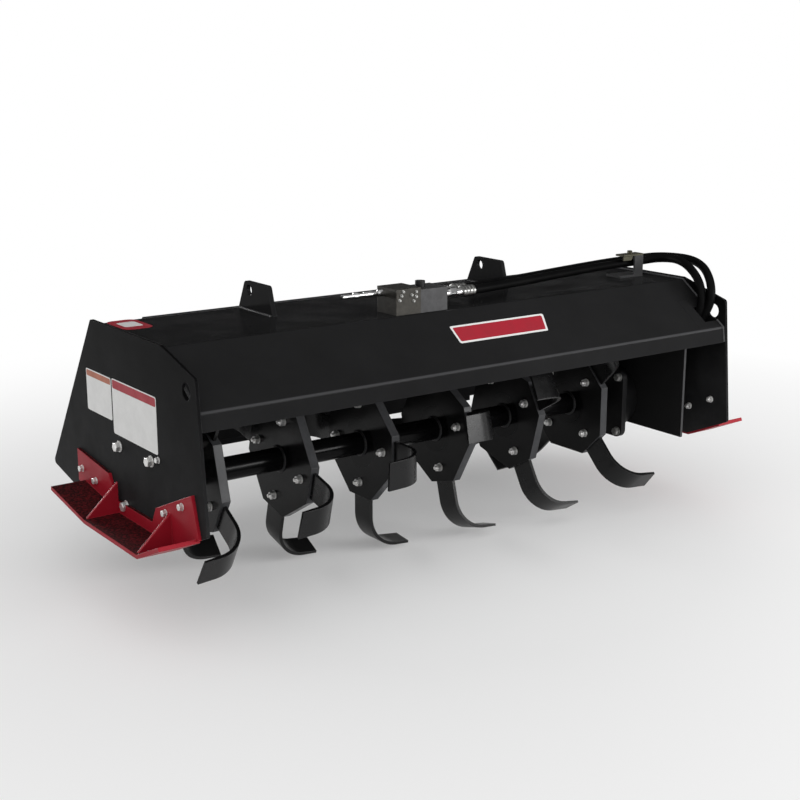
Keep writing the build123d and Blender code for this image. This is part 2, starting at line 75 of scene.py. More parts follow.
def noise(tree, coordinates, scale, detail=3.0, roughness=0.5):
    """A noise value over the surface."""
    node = tree.nodes.new("ShaderNodeTexNoise")
    node.inputs["Scale"].default_value = scale
    node.inputs["Detail"].default_value = detail
    node.inputs["Roughness"].default_value = roughness
    tree.links.new(coordinates, node.inputs["Vector"])
    return node.outputs["Fac"]


def remap(tree, value, low, high, to_low, to_high):
    """A value stretched from one range to another and kept inside it."""
    node = tree.nodes.new("ShaderNodeMapRange")
    tree.links.new(value, node.inputs["Value"])
    for name, number in (("From Min", low), ("From Max", high), ("To Min", to_low), ("To Max", to_high)):
        node.inputs[name].default_value = number
    return node.outputs["Result"]


def combine(tree, operation, first, second):
    """Two values joined by a sum, a product or the like."""
    node = tree.nodes.new("ShaderNodeMath")
    node.operation = operation
    for socket, value in zip(node.inputs, (first, second)):
        if isinstance(value, (int, float)):
            socket.default_value = value
        else:
            tree.links.new(value, socket)
    return node.outputs["Value"]


def blend_colours(tree, share, first, second):
    """A colour between two, by a share that changes over the surface."""
    node = tree.nodes.new("ShaderNodeMix")
    node.data_type = "RGBA"
    tree.links.new(share, node.inputs["Factor"])
    for name, colour in (("A", first), ("B", second)):
        socket = [each for each in node.inputs if each.name == name and each.type == "RGBA"][0]
        if isinstance(colour, tuple):
            socket.default_value = (*colour, 1.0)
        else:
            tree.links.new(colour, socket)
    return [each for each in node.outputs if each.type == "RGBA"][0]


def rounded_edges(tree, radius):
    """A normal that rounds the sharp edges, and how near an edge each point is."""
    bevel = tree.nodes.new("ShaderNodeBevel")
    bevel.samples = 6
    bevel.inputs["Radius"].default_value = radius
    true_normal = tree.nodes.new("ShaderNodeNewGeometry").outputs["Normal"]
    facing = tree.nodes.new("ShaderNodeVectorMath")
    facing.operation = "DOT_PRODUCT"
    tree.links.new(bevel.outputs["Normal"], facing.inputs[0])
    tree.links.new(true_normal, facing.inputs[1])
    return bevel.outputs["Normal"], remap(tree, facing.outputs["Value"], 0.99, 0.80, 0.0, 1.0)


def surface_bump(tree, shader, height, strength, distance, normal=None):
    """Fine relief on the shader's normal."""
    bump = tree.nodes.new("ShaderNodeBump")
    bump.inputs["Strength"].default_value = strength
    bump.inputs["Distance"].default_value = distance
    tree.links.new(height, bump.inputs["Height"])
    if normal is not None:
        tree.links.new(normal, bump.inputs["Normal"])
    tree.links.new(bump.outputs["Normal"], shader.inputs["Normal"])


def height_of(tree, coordinates):
    """How high a point of the surface is."""
    split = tree.nodes.new("ShaderNodeSeparateXYZ")
    tree.links.new(coordinates, split.inputs["Vector"])
    return split.outputs["Z"]


def cut_rims(tree):
    """Where a plate's cut rim shows: the faces that look neither left nor right."""
    facing = tree.nodes.new("ShaderNodeSeparateXYZ")
    tree.links.new(tree.nodes.new("ShaderNodeNewGeometry").outputs["Normal"], facing.inputs["Vector"])
    return remap(tree, combine(tree, "ABSOLUTE", facing.outputs["X"], 0.0), 0.3, 0.1, 0.0, 1.0)


def powder_coat(name, colour, edge_wear_and_highlight, rough, gloss, overlay, overlay_top, overlay_foot, rim_highlight=None):
    """Powder coat with orange peel; edges lighter for wear and painted highlight, rims lighter as painted highlight,
    and a film lower down that is soil on some parts and painted floor reflection on the end plates.
    """
    material, tree, shader, coordinates = new_material(name)
    dull = tuple(channel * 0.72 for channel in colour)
    cloud = remap(tree, noise(tree, coordinates, 3.2, 5.0, 0.6), 0.3, 0.7, 0.0, 1.0)
    coat = blend_colours(tree, cloud, dull, colour)
    # The film lower down, in the overlay colour: soil on most parts; on the end plates, a painted floor reflection.
    low = remap(tree, height_of(tree, coordinates), overlay_top, overlay_foot, 0.0, 1.0)
    mottle = remap(tree, noise(tree, coordinates, 9.0, 7.0, 0.65), 0.3, 0.7, 0.45, 1.0)
    film = combine(tree, "MULTIPLY", low, mottle)
    coat = blend_colours(tree, film, coat, overlay)
    # A rim colour paints the cut rims light, as a painted highlight.
    if rim_highlight:
        coat = blend_colours(tree, cut_rims(tree), coat, rim_highlight)
    # Edges are lightened: wear, and a painted highlight along them.
    normal, edge = rounded_edges(tree, 0.0022)
    chipped = remap(tree, noise(tree, coordinates, 38.0, 6.0, 0.65), 0.38, 0.62, 0.25, 1.0)
    thin = combine(tree, "MULTIPLY", edge, chipped)
    tree.links.new(blend_colours(tree, thin, coat, edge_wear_and_highlight), shader.inputs["Base Color"])
    smear = remap(tree, noise(tree, coordinates, 11.0, 4.0, 0.6), 0.3, 0.7, rough - 0.06, rough + 0.06)
    film_rough = combine(tree, "MULTIPLY", film, 0.12)
    tree.links.new(combine(tree, "ADD", smear, film_rough), shader.inputs["Roughness"])
    shader.inputs["Specular IOR Level"].default_value = gloss
    peel = noise(tree, coordinates, 520.0, 2.0, 0.5)
    surface_bump(tree, shader, peel, 0.10, 0.0006, normal)
    return material


def dress(node, material):
    """Gives a CAD node its finish."""
    nodes[node].data.materials.clear()
    nodes[node].data.materials.append(material)


# Lighter black for the edges: wear and a painted edge highlight.
worn_lit_edge_black = (0.045, 0.045, 0.047)
plate_coat = powder_coat(
    "matt_black_coat",
    colour=(0.0036, 0.0036, 0.0038),
    edge_wear_and_highlight=worn_lit_edge_black,
    rough=0.34,
    gloss=0.015,
    # Much lighter than the coat: a painted reflection of the floor, low on the plates.
    overlay=(0.029, 0.029, 0.030),
    overlay_top=0.24,
    overlay_foot=-0.16,
)
for node in ("end_plate_left", "end_plate_right"):
    dress(node, plate_coat)

# Hood
# One 6 mm steel sheet bent into the deck, the front slope with its lip, and the rear slope.
# It is welded between the end plates along its edges, with a narrow notch at the right for the
# hoses, and has a satin black coat with a lighter band painted along the lip's bend as a highlight.
sheet_black = (0.0158, 0.0158, 0.0162)
black_coat_look = {"rough": 0.13, "gloss": 0.016, "overlay": (0.016, 0.016, 0.017), "overlay_top": 0.16, "overlay_foot": -0.20}
black_coat = powder_coat("black_powder_coat", sheet_black, worn_lit_edge_black, **black_coat_look)
hood_coat = black_coat.copy()
hood_coat.name = "hood_powder_coat"


def spot(x, rear, up):
    """A point given in millimetres: across from the middle, to the rear of the reel's axis, and above it."""
    return Vector((x / 1000, rear / 1000 - 0.5, up / 1000 - 0.105))


def distance_from_line(tree, coordinates, point):
    """How far a point of the surface is from a line across the machine."""
    places = []
    for operation, number in (("SUBTRACT", point), ("MULTIPLY", (0.0, 1.0, 1.0)), ("LENGTH", None)):
        node = tree.nodes.new("ShaderNodeVectorMath")
        node.operation = operation
        tree.links.new(places[-1] if places else coordinates, node.inputs[0])
        if number is not None:
            node.inputs[1].default_value = number
            places.append(node.outputs["Vector"])
    return node.outputs["Value"]


def paint_bend_highlight(material, point, colour):
    """Paints a lighter band along the press-brake bend that runs through a point, as a painted highlight."""
    tree = material.node_tree
    shader = tree.nodes["Principled BSDF"]
    coat = shader.inputs["Base Color"].links[0].from_socket
    coordinates = tree.nodes.new("ShaderNodeTexCoord").outputs["Object"]
    near = remap(tree, distance_from_line(tree, coordinates, point), 0.0016, 0.0040, 1.0, 0.0)
    tree.links.new(blend_colours(tree, near, coat, colour), shader.inputs["Base Color"])


# Painted highlight: a lighter band along the lip's bend.
paint_bend_highlight(hood_coat, spot(0, -329.5, 247), (0.050, 0.050, 0.052))
dress("hood_sheet", hood_coat)


def weld_material(name, hollow, crest):
    """Painted weld: a black coat over the ripples of the bead, thinner on their crests."""
    material, tree, shader, coordinates = new_material(name)
    ripple = noise(tree, coordinates, 230.0, 2.0, 0.55)
    tint = remap(tree, ripple, 0.35, 0.65, 0.0, 1.0)
    tree.links.new(blend_colours(tree, tint, hollow, crest), shader.inputs["Base Color"])
    tree.links.new(remap(tree, ripple, 0.3, 0.7, 0.28, 0.5), shader.inputs["Roughness"])
    shader.inputs["Specular IOR Level"].default_value = 0.25
    surface_bump(tree, shader, ripple, 0.6, 0.002)
    return material


painted_weld = weld_material("painted_weld", (0.006, 0.006, 0.0065), (0.026, 0.026, 0.027))
# A light bead, a painted highlight: it draws the bright line along the slope's right end.
highlight_weld = weld_material("highlight_weld", (0.045, 0.045, 0.047), (0.085, 0.085, 0.088))


def weld_beads(name, lines, radius, body="frame", closed=False, material=painted_weld):
    """Weld beads laid along lines of points."""
    curve = bpy.data.curves.new(name, "CURVE")
    curve.dimensions = "3D"
    curve.bevel_depth = radius
    curve.bevel_resolution = 2
    curve.use_fill_caps = True
    for line in lines:
        run = curve.splines.new("POLY")
        run.points.add(len(line) - 1)
        for point, place in zip(run.points, line):
            point.co = (*place, 1.0)
        run.use_cyclic_u = closed
    curve.materials.append(material)
    bead = bpy.data.objects.new(name, curve)
    bpy.context.scene.collection.objects.link(bead)
    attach(bead, body)
    return bead


plate_outside, plate_inside = 842.5, 834.5
hood_line = [(450, -16), (185, 366), (-169, 366), (-331, 248), (-337, 207)]
notch_back, notch_front = (-262, 298), (-306, 266)
hood_bead = 0.0035
weld_beads("hood_welds_left", [[spot(-plate_inside, *place) for place in hood_line]], hood_bead)
# The right end's bead is painted light as a highlight line.
weld_beads(
    "hood_welds_right",
    [
        [spot(plate_inside, *place) for place in hood_line[:3] + [notch_back]],
        [spot(plate_inside, *place) for place in [notch_front] + hood_line[3:]],
    ],
    hood_bead,
    material=highlight_weld,
)


def piece(name, shape, material, body):
    """A finished mesh that rides on a body: smooth where it is round and sharp at its corners."""
    bmesh.ops.recalc_face_normals(shape, faces=shape.faces)
    for edge in shape.edges:
        edge.smooth = len(edge.link_faces) != 2 or edge.calc_face_angle() < radians(32)
    for face in shape.faces:
        face.smooth = True
    mesh = bpy.data.meshes.new(name)
    shape.to_mesh(mesh)
    shape.free()
    mesh.materials.append(material)
    thing = bpy.data.objects.new(name, mesh)
    bpy.context.scene.collection.objects.link(thing)
    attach(thing, body)
    return thing


def prism(shape, outline, across):
    """A plate with a flat outline, drawn out by one vector."""
    near = [shape.verts.new(point) for point in outline]
    far = [shape.verts.new(point + across) for point in outline]
    shape.faces.new(near)
    shape.faces.new(far)
    for index in range(len(outline)):
        after = (index + 1) % len(outline)
        shape.faces.new([near[index], near[after], far[after], far[index]])


# The slope's own sheet round the notch: one strip beside it, one above and one below, each given by
# its two sides from the middle and its head and foot down the slope from the fold, in metres.
filler_coat = powder_coat("filler_coat", sheet_black, sheet_black, **black_coat_look)
fold = spot(0, -169, 366)
down_slope = Vector((0, -162, -118)).normalized()
slope_out = Vector((0, -118, 162)).normalized()
notch_strips = [(0.7440, 0.7830, 0.0790, 0.1935), (0.7830, 0.8345, 0.0790, 0.1130), (0.7830, 0.8345, 0.1720, 0.1935)]
strip_proud, strip_thick = 0.0003, 0.0055
shape = bmesh.new()
for low_x, high_x, head, foot in notch_strips:
    outline = []
    for x, run in ((low_x, head), (high_x, head), (high_x, foot), (low_x, foot)):
        outline.append(fold + Vector((x, 0, 0)) + down_slope * run + slope_out * strip_proud)
    prism(shape, outline, slope_out * -strip_thick)
piece("notch_plate", shape, filler_coat, "frame")

# Lifting lugs
# Thick plate lugs with one round hole, welded down both sides on the deck's rear edge.
# They are coated with the hood.
for node in ("lift_lug_left", "lift_lug_right"):
    dress(node, black_coat)
lug_lines = []
for middle in (-442, 312):
    for side in (-6, 6):
        lug_lines.append([spot(middle + side, rear, 366.5) for rear in (12, 60, 120, 178)])
weld_beads("lug_welds", lug_lines, 0.004)

# Rear frame
# Hollow beam, four upright plates and the loader's coupler plate, welded up behind the hood.
# All of it is coated with the hood.
for node in ("rear_beam", "coupler_uprights", "coupler_plate"):
    dress(node, black_coat)
upright_lines = []
for middle in (-520.0, -173.3, 173.3, 520.0):
    for side in (-5, 5):
        upright_lines.append([spot(middle + side, rear, up) for rear, up in ((490, 292), (490, 140), (490, -22))])
        upright_lines.append([spot(middle + side, rear, up) for rear, up in ((236, 292), (345, 134), (452, -22))])
weld_beads("upright_welds", upright_lines, 0.004)

# Drive wall
# An 8 mm plate under the hood's right end that carries the motor, welded to the hood from below.
# It is coated with the hood, and its front edge is painted lighter than its faces, a painted highlight.
wall_coat = powder_coat(
    "wall_coat",
    colour=(0.0140, 0.0140, 0.0144),
    edge_wear_and_highlight=(0.05, 0.05, 0.052),
    rough=0.30,
    gloss=0.03,
    overlay=(0.012, 0.012, 0.012),
    overlay_top=0.16,
    overlay_foot=-0.20,
    # Light front edge: a painted highlight.
    rim_highlight=(0.062, 0.062, 0.064),
)
dress("drive_wall", wall_coat)

# Skid shoes
# Bent steel soles with an ear plate and two gussets, welded up and powder coated dark red.
# Four hexagon bolts hold each ear to its end plate, and soil dulls the top of the sole.


def shoe_coat():
    """Dark red powder coat, with dark soil lying on the faces that look up."""
    material, tree, shader, coordinates = new_material("red_powder_coat")
    cloud = remap(tree, noise(tree, coordinates, 5.0, 5.0, 0.6), 0.3, 0.7, 0.0, 1.0)
    coat = blend_colours(tree, cloud, (0.265, 0.008, 0.017), (0.325, 0.012, 0.023))
    upward = tree.nodes.new("ShaderNodeSeparateXYZ")
    tree.links.new(tree.nodes.new("ShaderNodeNewGeometry").outputs["Normal"], upward.inputs["Vector"])
    flat = remap(tree, upward.outputs["Z"], 0.80, 0.93, 0.0, 1.0)
    crumbs = remap(tree, noise(tree, coordinates, 150.0, 6.0, 0.7), 0.36, 0.56, 0.62, 1.0)
    overlay = combine(tree, "MULTIPLY", flat, crumbs)
    coat = blend_colours(tree, overlay, coat, (0.011, 0.003, 0.003))
    normal, edge = rounded_edges(tree, 0.0025)
    worn = remap(tree, noise(tree, coordinates, 45.0, 6.0, 0.65), 0.36, 0.62, 0.2, 1.0)
    thin = combine(tree, "MULTIPLY", edge, worn)
    tree.links.new(blend_colours(tree, thin, coat, (0.42, 0.045, 0.055)), shader.inputs["Base Color"])
    smear = remap(tree, noise(tree, coordinates, 14.0, 4.0, 0.6), 0.3, 0.7, 0.32, 0.46)
    tree.links.new(combine(tree, "ADD", smear, combine(tree, "MULTIPLY", overlay, 0.3)), shader.inputs["Roughness"])
    shader.inputs["Specular IOR Level"].default_value = 0.1
    grit = combine(tree, "ADD", noise(tree, coordinates, 480.0, 2.0, 0.5), combine(tree, "MULTIPLY", overlay, 3.0))
    surface_bump(tree, shader, grit, 0.12, 0.0007, normal)
    return material


red_coat = shoe_coat()
for node in ("skid_shoe_left", "skid_shoe_right"):
    dress(node, red_coat)


def plated_metal(name, colour, stain, rough, metal=1.0):
    """Plated or machined steel: bright metal with cloudy stains and fine marks."""
    material, tree, shader, coordinates = new_material(name)
    cloud = remap(tree, noise(tree, coordinates, 70.0, 5.0, 0.6), 0.35, 0.65, 0.0, 1.0)
    tree.links.new(blend_colours(tree, cloud, stain, colour), shader.inputs["Base Color"])
    marks = noise(tree, coordinates, 260.0, 4.0, 0.6)
    tree.links.new(remap(tree, marks, 0.3, 0.7, rough - 0.08, rough + 0.10), shader.inputs["Roughness"])
    shader.inputs["Metallic"].default_value = metal
    normal = rounded_edges(tree, 0.0007)[0]
    surface_bump(tree, shader, marks, 0.08, 0.0004, normal)
    return material


zinc = plated_metal("zinc_plate", (0.84, 0.84, 0.83), (0.66, 0.65, 0.63), 0.34, 0.7)


def turned(shape, seat, axis, profile, sides, spin=0.0):
    """Rings of a radius at a height above a seat, joined into a turned or hexagon form."""
    facing = Vector(axis).to_track_quat("Z", "Y").to_matrix()
    rings = []
    for radius, height in profile:
        count = sides if radius else 1
        angles = [spin + 2 * pi * side / sides for side in range(count)]
        rings.append(
            [shape.verts.new(seat + facing @ Vector((radius * cos(a), radius * sin(a), height))) for a in angles]
        )
    for lower, upper in zip(rings, rings[1:]):
        for side in range(sides):
            corners = [lower[side % len(lower)], lower[(side + 1) % len(lower)]]
            corners += [upper[(side + 1) % len(upper)], upper[side % len(upper)]]
            corners = list(dict.fromkeys(corners))
            if len(corners) > 2:
                shape.faces.new(corners)


def fastener(shape, seat, axis, across, washer, stem=0.0, spin=0.2):
    """A hexagon head or nut on a washer, with the bolt's threaded end through it where that shows."""
    corner = across / sqrt(3)
    thick = 0.11 * across
    top = thick + 0.60 * across
    turned(shape, seat, axis, [(0, 0), (washer, 0), (washer, 0.8 * thick), (washer * 0.95, thick), (0, thick)], 28)
    hexagon = [(0, thick), (corner * 0.9, thick), (corner, thick * 1.3)]
    hexagon += [(corner, top - 0.5 * thick), (corner * 0.87, top), (0, top)]
    turned(shape, seat, axis, hexagon, 6, spin)
    if stem:
        core = 0.30 * across
        pitch = 0.0022
        thread = [(0, top), (core, top)]
        for turn in range(int(stem / pitch)):
            thread += [(core, top + (turn + 0.3) * pitch), (core * 0.88, top + (turn + 0.8) * pitch)]
        turned(shape, seat, axis, thread + [(core * 0.85, top + stem), (0, top + stem)], 16)


ear_bolts = {
    "left": (-1, [(297, -27), (213, -39), (-179, -16), (-264, 22)]),
    "right": (1, [(297, -27), (213, -39), (-219, -6), (-299, 30)]),
}
ear_outside, ear_hexagon = 850.5, 0.0145
for side, (way, places) in ear_bolts.items():
    shape = bmesh.new()
    for rear, up in places:
        fastener(shape, spot(way * ear_outside, rear, up), (way, 0, 0), ear_hexagon, 0.0092)
        fastener(shape, spot(way * plate_inside, rear, up), (-way, 0, 0), ear_hexagon, 0.0098, 0.005)
    piece(f"shoe_bolts_{side}", shape, zinc, "frame")

# Reel
# Steel tube with a stub at each end and six eight-sided plates, welded on all round.
# Its gloss black paint is darker on the tube than on the plates, a painted shade, and lighter on the plates' cut edges,
# for painted highlight and wear.
tube_axis = spot(0, 0, 0)


def reel_gloss():
    """Gloss black paint: darker on the tube as painted shade, and lighter on the plates' cut edges and corners for
    painted highlight and wear.
    """
    material, tree, shader, coordinates = new_material("reel_gloss_paint")
    cloud = remap(tree, noise(tree, coordinates, 6.0, 5.0, 0.6), 0.3, 0.7, 0.0, 1.0)
    coat = blend_colours(tree, cloud, (0.0022, 0.0022, 0.0024), (0.0040, 0.0040, 0.0043))
    outside = remap(tree, distance_from_line(tree, coordinates, tube_axis), 0.060, 0.070, 0.0, 1.0)
    # The plates are painted lighter than the tube; the tube's darker paint is painted shade.
    coat = blend_colours(tree, outside, coat, (0.0105, 0.0105, 0.0108))
    rubbed = remap(tree, noise(tree, coordinates, 30.0, 6.0, 0.65), 0.3, 0.7, 0.6, 1.0)
    # Cut rims of the plates painted light: a painted highlight, with some wear.
    cut_edge_highlight_and_wear = combine(tree, "MULTIPLY", combine(tree, "MULTIPLY", outside, cut_rims(tree)), rubbed)
    coat = blend_colours(tree, cut_edge_highlight_and_wear, coat, (0.060, 0.061, 0.064))
    normal, edge = rounded_edges(tree, 0.0020)
    thin = combine(tree, "MULTIPLY", combine(tree, "MULTIPLY", edge, outside), rubbed)
    tree.links.new(blend_colours(tree, thin, coat, (0.07, 0.07, 0.07)), shader.inputs["Base Color"])
    smear = noise(tree, coordinates, 15.0, 4.0, 0.6)
    tree.links.new(remap(tree, smear, 0.3, 0.7, 0.14, 0.26), shader.inputs["Roughness"])
    shader.inputs["Specular IOR Level"].default_value = 0.09
    surface_bump(tree, shader, noise(tree, coordinates, 420.0, 2.0, 0.5), 0.06, 0.0005, normal)
    return material


dress("reel_shaft", reel_gloss())
stations = []
for number in range(1, 7):
    low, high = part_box(f"tines_{number}")
    stations.append((low.x + high.x) / 2)
weld_rings = []
ring_radius, ring_steps = 0.0315, 40
for middle in stations:
    for face in (-0.0125, 0.0125):
        ring = []
        for step in range(ring_steps):
            angle = 2 * pi * step / ring_steps
            around = Vector((middle + face, ring_radius * cos(angle), ring_radius * sin(angle)))
            ring.append(tube_axis + around)
        weld_rings.append(ring)
weld_beads("reel_welds", weld_rings, 0.0045, "reel", True)

# Tines
# Forged spring-steel blades: a flat shank in a slot of the plate, a round bend to the right or left,
# and a blade that thins towards its tip. They are painted black and worn on the edges.
# One bright zinc bolt holds each tine, with its nut on the plate's left side.
tine_paint = powder_coat(
    "tine_paint",
    colour=(0.0065, 0.0065, 0.0068),
    edge_wear_and_highlight=(0.050, 0.050, 0.050),
    rough=0.27,
    gloss=0.22,
    overlay=(0.012, 0.012, 0.012),
    overlay_top=-0.22,
    overlay_foot=-0.40,
)
shank_end, bend, bend_turn = 0.203, 0.088, radians(84)
blade_half, blade_thick = 0.036, 0.0090
reach_and_cut = {1: (0.134, 0.012), -1: (0.127, 0.004)}
bolt_circle, plate_half, tine_hexagon = 0.108, 0.012, 0.019


def tine_sections(reach, cut):
    """Places along a tine: out to the side, from the axis, its turn, its thickness and its cut-back."""
    places = [(0.0, 0.050, 0.0, blade_thick, 0.0), (0.0, 0.150, 0.0, blade_thick, 0.0)]
    for step in range(17):
        turn = bend_turn * step / 16
        places.append((bend * (1 - cos(turn)), shank_end + bend * sin(turn), turn, blade_thick, 0.0))
    side, out = places[-1][:2]
    for share in (0.5, 1.0):
        run = (reach - side) * share
        places.append((side + run, out + run / tan(bend_turn), bend_turn, blade_thick * (1 - 0.3 * share), cut * share))
    return places


def forge_tine(shape, middle, angle, hand):
    """One tine at its angle round the reel, bent to the right for hand 1 and to the left for hand -1."""
    outwards = Vector((0, -sin(angle), -cos(angle)))
    onwards = Vector((0, cos(angle), -sin(angle)))
    sideways = Vector((hand, 0, 0))
    rows = []
    for side, out, turn, thick, cut in tine_sections(*reach_and_cut[hand]):
        along = sideways * sin(turn) + outwards * cos(turn)
        across = sideways * cos(turn) - outwards * sin(turn)
        spine = Vector((middle, tube_axis.y, tube_axis.z)) + sideways * side + outwards * out
        row = []
        for edge, face in ((-1, -1), (1, -1), (1, 1), (-1, 1)):
            back = along * cut if edge < 0 else Vector()
            row.append(shape.verts.new(spine + onwards * edge * blade_half + across * face * thick / 2 - back))
        rows.append(row)
    for lower, upper in zip(rows, rows[1:]):
        for index in range(4):
            after = (index + 1) % 4
            shape.faces.new([lower[index], lower[after], upper[after], upper[index]])
    shape.faces.new(rows[0])
    shape.faces.new(rows[-1])


for number, middle in enumerate(stations, 1):
    blades = bmesh.new()
    bolts = bmesh.new()
    for lobe in range(4):
        angle = radians(-30 + 15 * (number - 1) + 90 * lobe)
        forge_tine(blades, middle, angle, 1 if lobe % 2 == 0 else -1)
        place = Vector((middle, tube_axis.y - bolt_circle * sin(angle), tube_axis.z - bolt_circle * cos(angle)))
        fastener(bolts, place + Vector((-plate_half, 0, 0)), (-1, 0, 0), tine_hexagon, 0.0115, 0.006, angle)
        fastener(bolts, place + Vector((plate_half, 0, 0)), (1, 0, 0), tine_hexagon, 0.0115, 0.0, angle)
    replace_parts(piece(f"tine_blades_{number}", blades, tine_paint, "reel"), f"tines_{number}")
    piece(f"tine_bolts_{number}", bolts, zinc, "reel")

# Bearing
# Cast flange bearing inside the left end plate, painted black. Its zinc bolts go through the plate,
# and their heads stand outside it on washers, with a small screw beside one of them.


def cast_paint():
    """Black paint over the grainy skin of a casting."""
    material, tree, shader, coordinates = new_material("painted_casting")
    grain = noise(tree, coordinates, 240.0, 6.0, 0.7)
    cloud = remap(tree, noise(tree, coordinates, 8.0, 5.0, 0.6), 0.3, 0.7, 0.0, 1.0)
    normal, edge = rounded_edges(tree, 0.002)
    skin = blend_colours(tree, cloud, (0.004, 0.004, 0.0044), (0.0075, 0.0075, 0.008))
    tree.links.new(blend_colours(tree, edge, skin, (0.028, 0.028, 0.029)), shader.inputs["Base Color"])
    tree.links.new(remap(tree, grain, 0.3, 0.7, 0.42, 0.62), shader.inputs["Roughness"])
    shader.inputs["Specular IOR Level"].default_value = 0.22
    surface_bump(tree, shader, grain, 0.35, 0.0012, normal)
    return material


casting = cast_paint()
dress("reel_bearing", casting)
shape = bmesh.new()
for rear, up in ((77, 81), (-98, 86), (53, -64)):
    fastener(shape, spot(-plate_outside, rear, up), (-1, 0, 0), 0.021, 0.0140)
fastener(shape, spot(-plate_outside, -136, 98), (-1, 0, 0), 0.012, 0.008)
piece("bearing_bolts", shape, zinc, "frame")

# Motor
# Hydraulic motor on the drive wall: a cast nose with a square flange on the reel's side, and the
# body with its two port bosses beside the right end plate. Four bolts hold the flange.
for node in ("motor_nose", "motor_body"):
    dress(node, casting)
dull_zinc = plated_metal("dull_zinc_plate", (0.36, 0.36, 0.35), (0.22, 0.22, 0.21), 0.40, 0.7)
flange_face = 658.5
shape = bmesh.new()
for rear in (-100, 100):
    for up in (-82, 82):
        fastener(shape, spot(flange_face, rear, up), (-1, 0, 0), 0.019, 0.013)
piece("motor_bolts", shape, dull_zinc, "frame")

# Valve
# Machined manifold block of browned steel with a grey side block, both bolted down on the deck.
# A black cap stands on the side block, small screws close the front face, and plated adapters lead
# to the two hoses and the inlet.
browned_steel = plated_metal("browned_steel", (0.042, 0.039, 0.033), (0.026, 0.024, 0.020), 0.44, 0.6)
dress("valve_block", browned_steel)
grey_metal = plated_metal("grey_cast_metal", (0.054, 0.054, 0.056), (0.040, 0.040, 0.041), 0.48, 0.5)
dress("valve_side_block", grey_metal)


def moulded_cap():
    """Black moulded plastic with a fine grain."""
    material, tree, shader, coordinates = new_material("moulded_black_cap")
    grain = noise(tree, coordinates, 420.0, 3.0, 0.5)
    normal, edge = rounded_edges(tree, 0.0015)
    tree.links.new(blend_colours(tree, edge, (0.006, 0.006, 0.0065), (0.02, 0.02, 0.021)), shader.inputs["Base Color"])
    tree.links.new(remap(tree, grain, 0.3, 0.7, 0.3, 0.42), shader.inputs["Roughness"])
    shader.inputs["Specular IOR Level"].default_value = 0.3
    surface_bump(tree, shader, grain, 0.1, 0.0006, normal)
    return material


dress("valve_cap", moulded_cap())
chrome = plated_metal("bright_plate", (0.80, 0.80, 0.80), (0.62, 0.62, 0.62), 0.17)
dress("outlet_fittings", chrome)
low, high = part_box("inlet_tube")
inlet_rise = 0.014
inlet = [(0.0, 0.0), (0.0062, 0.0), (0.0062, 0.012), (0.0050, 0.013), (0.0050, 0.034), (0.0080, 0.035)]
inlet += [(0.0080, 0.046), (0.0050, 0.047), (0.0050, 0.066), (0.0072, 0.067), (0.0072, 0.088)]
inlet += [(0.0052, 0.089), (0.0052, 0.108), (0.0090, 0.109), (0.0090, 0.125), (0.0, 0.125)]
shape = bmesh.new()
turned(shape, Vector((low.x, (low.y + high.y) / 2, (low.z + high.z) / 2 + inlet_rise)), (1, 0, 0), inlet, 28)
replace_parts(piece("inlet_line", shape, chrome, "frame"), "inlet_tube")
low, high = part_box("valve_block")
shape = bmesh.new()
screws = [(0.27, 0.90), (0.20, 0.74), (0.13, 0.58), (0.62, 0.74), (0.80, 0.85), (0.80, 0.66), (0.70, 0.50)]
for along, rise in screws:
    seat = Vector((low.x + along * (high.x - low.x), low.y, low.z + rise * (high.z - low.z)))
    fastener(shape, seat, (0, -1, 0), 0.0062, 0.0044)
piece("valve_bolts", shape, dull_zinc, "frame")

# Hoses
# Two rubber pressure hoses, from the valve's adapters along the deck, through the clamp, over the
# right end and down through the hood's notch to the motor. Each end has a crimped steel ferrule.


def hose_rubber():
    """Black rubber with the faint weave that the cure wrap leaves on it."""
    material, tree, shader, coordinates = new_material("hose_rubber")
    weave = noise(tree, coordinates, 620.0, 3.0, 0.55)
    dust = remap(tree, noise(tree, coordinates, 12.0, 6.0, 0.65), 0.45, 0.75, 0.0, 1.0)
    black = blend_colours(tree, dust, (0.0020, 0.0020, 0.0021), (0.0045, 0.0045, 0.0045))
    tree.links.new(black, shader.inputs["Base Color"])
    tree.links.new(remap(tree, weave, 0.3, 0.7, 0.42, 0.6), shader.inputs["Roughness"])
    shader.inputs["Specular IOR Level"].default_value = 0.04
    surface_bump(tree, shader, weave, 0.25, 0.0008)
    return material


rubber = hose_rubber()
dark_ferrule = plated_metal("dark_ferrule", (0.30, 0.30, 0.29), (0.16, 0.16, 0.155), 0.32)
port_line = Vector((0, -cos(radians(43)), sin(radians(43))))
hose_routes = {
    "outer": [
        (30, -106, 404),
        (110, -106, 404),
        (640, 6, 404),
        (806, 14, 406),
        (886, -36, 416),
        (880, -190, 420),
        (824, -292, 368),
        (812, -294, 284),
    ],
    "inner": [
        (30, -142, 404),
        (110, -142, 404),
        (640, -30, 404),
        (790, -24, 404),
        (846, -66, 416),
        (840, -165, 420),
        (808, -268, 366),
        (797, -278, 270),
    ],
}
port_places = {"outer": 800, "inner": 768.5}
ferrule = [(0, -0.001), (0.0125, -0.001), (0.0155, 0.0), (0.0155, 0.006), (0.0142, 0.008), (0.0155, 0.010)]
ferrule += [(0.0155, 0.017), (0.0142, 0.019), (0.0155, 0.021), (0.0155, 0.028), (0.0142, 0.030)]
ferrule += [(0.0155, 0.032), (0.0150, 0.038), (0.0122, 0.039), (0, 0.039)]
